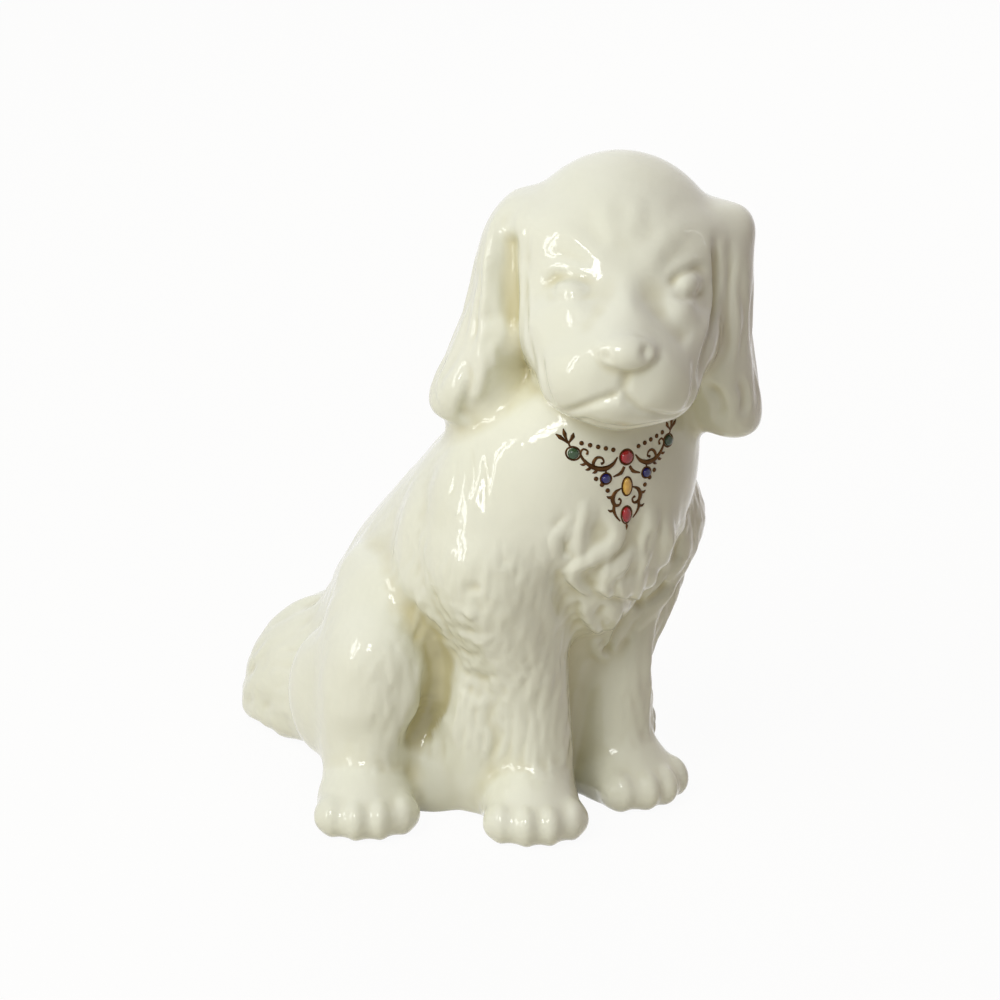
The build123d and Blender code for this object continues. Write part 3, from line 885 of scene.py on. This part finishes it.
def cabochon(name, place, radii, finish):
    """A domed stone of given half width, half height and rise in mm, set in the glaze."""
    bpy.ops.object.select_all(action="DESELECT")
    bpy.ops.mesh.primitive_uv_sphere_add(segments=32, ring_count=17, radius=1)
    stone = bpy.context.object
    stone.name = "domed_" + name
    bpy.ops.object.mode_set(mode="EDIT")
    bpy.ops.mesh.select_all(action="SELECT")
    bpy.ops.mesh.bisect(plane_co=flat_back, plane_no=(0, 0, 1), use_fill=True, clear_inner=True)
    bpy.ops.mesh.extrude_region_move(TRANSFORM_OT_translate={"value": set_in})
    bpy.ops.mesh.select_all(action="SELECT")
    bpy.ops.mesh.normals_make_consistent(inside=False)
    bpy.ops.object.mode_set(mode="OBJECT")
    stone.data.transform(seated(*place) @ Matrix.Diagonal((*[r * MM for r in radii], 1)))
    bpy.ops.object.shade_smooth()
    stone.data.materials.append(finish)
    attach(stone, "root")
    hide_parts(name)


red = enamel("red_glass_enamel", "#7d0a10", "#bd1a20")
yellow = enamel("yellow_glass_enamel", "#b9802a", "#eec65c")
blue = enamel("blue_glass_enamel", "#0e0940", "#211c80")
green = enamel("green_glass_enamel", "#173019", "#3d5f3a")
cabochon("red_centre_jewel", (0, 0), (1.15, 1.15, 0.8), red)
cabochon("yellow_jewel", (0, -5.1), (0.8, 1.5, 0.7), yellow)
cabochon("red_drop_jewel", (0, -10.2), (0.95, 1.35, 0.75), red)
for side, name in ((-1, "right"), (1, "left")):
    cabochon(name + "_blue_jewel", (side * 3.9, -3.3), (0.8, 0.8, 0.7), blue)
    cabochon(name + "_green_jewel", (side * 9.0, 1.2), (0.95, 0.95, 0.7), green)

# Stage
# A plain pale table top in soft daylight from the dog's right and from behind, with window panes that
# show in the glaze, and a brown wall on its left that gives the shaded side its warm tone. The camera
# sees the table and the room as white, and the table keeps a trace of the figure's shadow.
floor_white, shade_light = 0.95, 0.17
wall_place, wall_height, wall_length = (0.14, -0.25, 0.24), 0.48, 0.5


def rays_seen(material):
    """1 for what the camera sees, straight or in a mirror or glass, and 0 for what lights the figure."""
    rays = node(material, "ShaderNodeLightPath")
    seen_at_all = rays.outputs["Is Camera Ray"]
    for kind in ("Is Glossy Ray", "Is Transmission Ray"):
        either = {0: seen_at_all, 1: rays.outputs[kind]}
        seen_at_all = node(material, "ShaderNodeMath", either, operation="MAXIMUM").outputs[0]
    return seen_at_all


bpy.ops.mesh.primitive_plane_add(size=6)
floor = bpy.context.object
floor.name = "floor"
table_top, _ = finish_named("pale_table_top")
whiteness = node(table_top, "ShaderNodeMath", {0: rays_seen(table_top), 1: floor_white}, operation="MULTIPLY")
paint = node(table_top, "ShaderNodeBsdfDiffuse", {"Color": linear("#dbd6c6")})
glow = node(table_top, "ShaderNodeEmission", {"Color": (1, 1, 1, 1), "Strength": 1.0})
blend = node(
    table_top, "ShaderNodeMixShader", {0: whiteness.outputs[0], 1: paint.outputs[0], 2: glow.outputs[0]},
)
surface = table_top.node_tree.nodes["Material Output"].inputs["Surface"]
table_top.node_tree.links.new(blend.outputs[0], surface)
floor.data.materials.append(table_top)

bpy.ops.mesh.primitive_plane_add(size=1)
card = bpy.context.object
card.name = "brown_wall"
card.data.transform(
    Matrix.Translation(wall_place) @ Matrix.Rotation(math.radians(-90), 4, "Y")
    @ Matrix.Diagonal((wall_height, wall_length, 1, 1))
)
card.visible_camera = card.visible_glossy = False
wall_paint, shader = finish_named("brown_wall_paint")
shader.inputs["Base Color"].default_value = linear("#6a4526")
shader.inputs["Roughness"].default_value = 0.9
card.data.materials.append(wall_paint)

scene = bpy.context.scene
scene.view_settings.view_transform = "Standard"
room = bpy.data.worlds.new("room")
scene.world = room
room.use_nodes = True
level = node(room, "ShaderNodeMix", {"Factor": rays_seen(room), "A": shade_light, "B": 1.0})
air = room.node_tree.nodes["Background"]
air.inputs["Color"].default_value = (1, 1, 1, 1)
room.node_tree.links.new(level.outputs["Result"], air.inputs["Strength"])


def lamp(name, turn, rise, distance, size, power):
    """A soft rectangular light that shines on the figure from a direction, in degrees."""
    data = bpy.data.lights.new(name, "AREA")
    data.shape, data.size, data.size_y, data.energy = "RECTANGLE", size[0], size[1], power
    light = bpy.data.objects.new(name, data)
    scene.collection.objects.link(light)
    way = way_to(turn, rise)
    light.location = camera_target + way * distance
    light.rotation_euler = way.to_track_quat("Z", "Y").to_euler()
    return light


# Two wide soft lights that don't show in the glaze, then the panes and the door that do
lamp("sky", -74, 52, 1.0, (0.8, 0.8), 5.3).visible_glossy = False
lamp("back_light", 124, 38, 1.0, (0.6, 0.6), 4.0).visible_glossy = False
for pane in (-1, 1):
    lamp("side_window", -112 + 4.0 * pane, 18, 0.9, (0.07, 0.5), 0.65)
    for row in (-1, 1):
        lamp("front_window", -74 + 4.8 * pane, 33 + 4.8 * row, 0.9, (0.12, 0.12), 0.42)
lamp("door", 38, 26, 0.9, (0.03, 0.25), 0.06)
